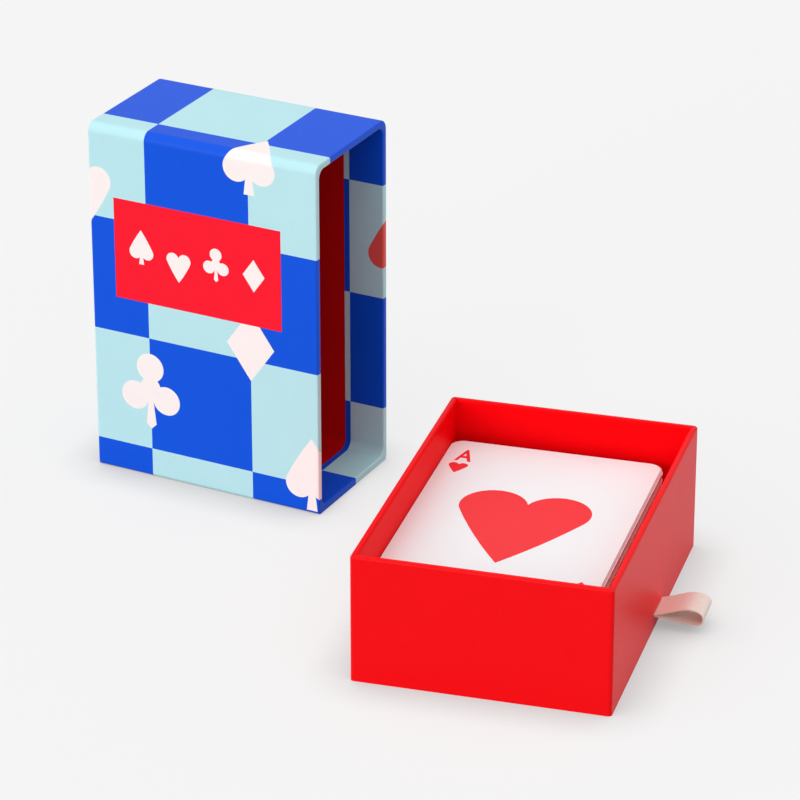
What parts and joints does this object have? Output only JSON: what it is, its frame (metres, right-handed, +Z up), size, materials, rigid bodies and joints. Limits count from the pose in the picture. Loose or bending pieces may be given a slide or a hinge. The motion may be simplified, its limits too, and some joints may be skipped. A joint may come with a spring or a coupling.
{
  "type": "boxed deck of playing cards",
  "caption": "Playing cards in a rigid two-part box: an upright board sleeve open on one long side, and the drawn-out tray that holds the deck, with a ribbon loop to pull it by.",
  "frame": {"origin": "middle of the sleeve's foot, on the surface that the sleeve and the tray stand on", "axes": "+X out of the sleeve's mouth, the way the tray is drawn out; +Y towards the sleeve's back board; +Z up"},
  "size_m": [0.1886, 0.1162, 0.1011],
  "materials": {
    "greyboard": "raw grey box board",
    "printed_wrap": "matt laminated print in blue and pale teal squares",
    "red_lining": "matt red paper",
    "red_wrap": "satin red paper with a fine grain",
    "grey_liner": "matt grey liner",
    "satin_ribbon": "cream satin weave",
    "card_stock": "smooth coated white card with printed faces"
  },
  "bodies": {
    "sleeve": {"sleeve_front_board": "greyboard", "sleeve_back_board": "greyboard", "sleeve_top_board": "greyboard", "sleeve_bottom_board": "greyboard", "sleeve_spine_board": "greyboard", "sleeve_wrap": "printed_wrap", "sleeve_lining": "red_lining", "sleeve_foot_sheet": "printed_wrap"},
    "tray": {"tray_base_board": "greyboard", "tray_front_wall": "greyboard", "tray_back_wall": "greyboard", "tray_left_wall": "greyboard", "tray_pull_wall": "greyboard", "tray_wrap": "red_wrap", "tray_foot_sheet": "red_wrap", "tray_liner": "grey_liner", "ribbon_tail": "satin_ribbon"},
    "ribbon": {"pull_ribbon": "satin_ribbon"},
    "clubs_packet": {"jokers": "card_stock", "clubs": "card_stock"},
    "diamonds_packet": {"ace_of_diamonds": "card_stock", "two_of_diamonds": "card_stock", "three_of_diamonds": "card_stock", "four_of_diamonds": "card_stock", "five_of_diamonds": "card_stock", "six_of_diamonds": "card_stock", "seven_of_diamonds": "card_stock", "eight_of_diamonds": "card_stock", "nine_of_diamonds": "card_stock", "ten_of_diamonds": "card_stock", "jack_of_diamonds": "card_stock", "queen_of_diamonds": "card_stock", "king_of_diamonds": "card_stock"},
    "spades_packet": {"ace_of_spades": "card_stock", "two_of_spades": "card_stock", "three_of_spades": "card_stock", "four_of_spades": "card_stock", "five_of_spades": "card_stock", "six_of_spades": "card_stock", "seven_of_spades": "card_stock", "eight_of_spades": "card_stock", "nine_of_spades": "card_stock", "ten_of_spades": "card_stock", "jack_of_spades": "card_stock", "queen_of_spades": "card_stock", "king_of_spades": "card_stock"},
    "hearts_packet": {"two_of_hearts": "card_stock", "three_of_hearts": "card_stock", "four_of_hearts": "card_stock", "five_of_hearts": "card_stock", "six_of_hearts": "card_stock", "seven_of_hearts": "card_stock", "eight_of_hearts": "card_stock", "nine_of_hearts": "card_stock", "ten_of_hearts": "card_stock", "jack_of_hearts": "card_stock", "queen_of_hearts": "card_stock", "king_of_hearts": "card_stock"},
    "top_card": {"ace_of_hearts": "card_stock"}
  },
  "joints": [
    {"name": "drawer_slide", "type": "slide", "parent": "sleeve", "child": "tray", "axis": [0.9799, 0.1994, 0], "range_m": [0, 0.067]},
    {"name": "ribbon_swing", "type": "hinge", "parent": "tray", "child": "ribbon", "pos_m": [0.14057, -0.03242, 0.0041], "axis": [0.1994, -0.9799, 0], "range_deg": [-8, 70], "stiffness_Nm_per_rad": 0.0001},
    {"name": "clubs_lift", "type": "slide", "parent": "tray", "child": "clubs_packet", "axis": [0, 0, 1], "range_m": [0, 0.04]},
    {"name": "diamonds_lift", "type": "slide", "parent": "clubs_packet", "child": "diamonds_packet", "axis": [0, 0, 1], "range_m": [0, 0.035]},
    {"name": "spades_lift", "type": "slide", "parent": "diamonds_packet", "child": "spades_packet", "axis": [0, 0, 1], "range_m": [0, 0.03]},
    {"name": "hearts_lift", "type": "slide", "parent": "spades_packet", "child": "hearts_packet", "axis": [0, 0, 1], "range_m": [0, 0.025]},
    {"name": "top_card_lift", "type": "slide", "parent": "hearts_packet", "child": "top_card", "axis": [0, 0, 1], "range_m": [0, 0.02]}
  ]
}
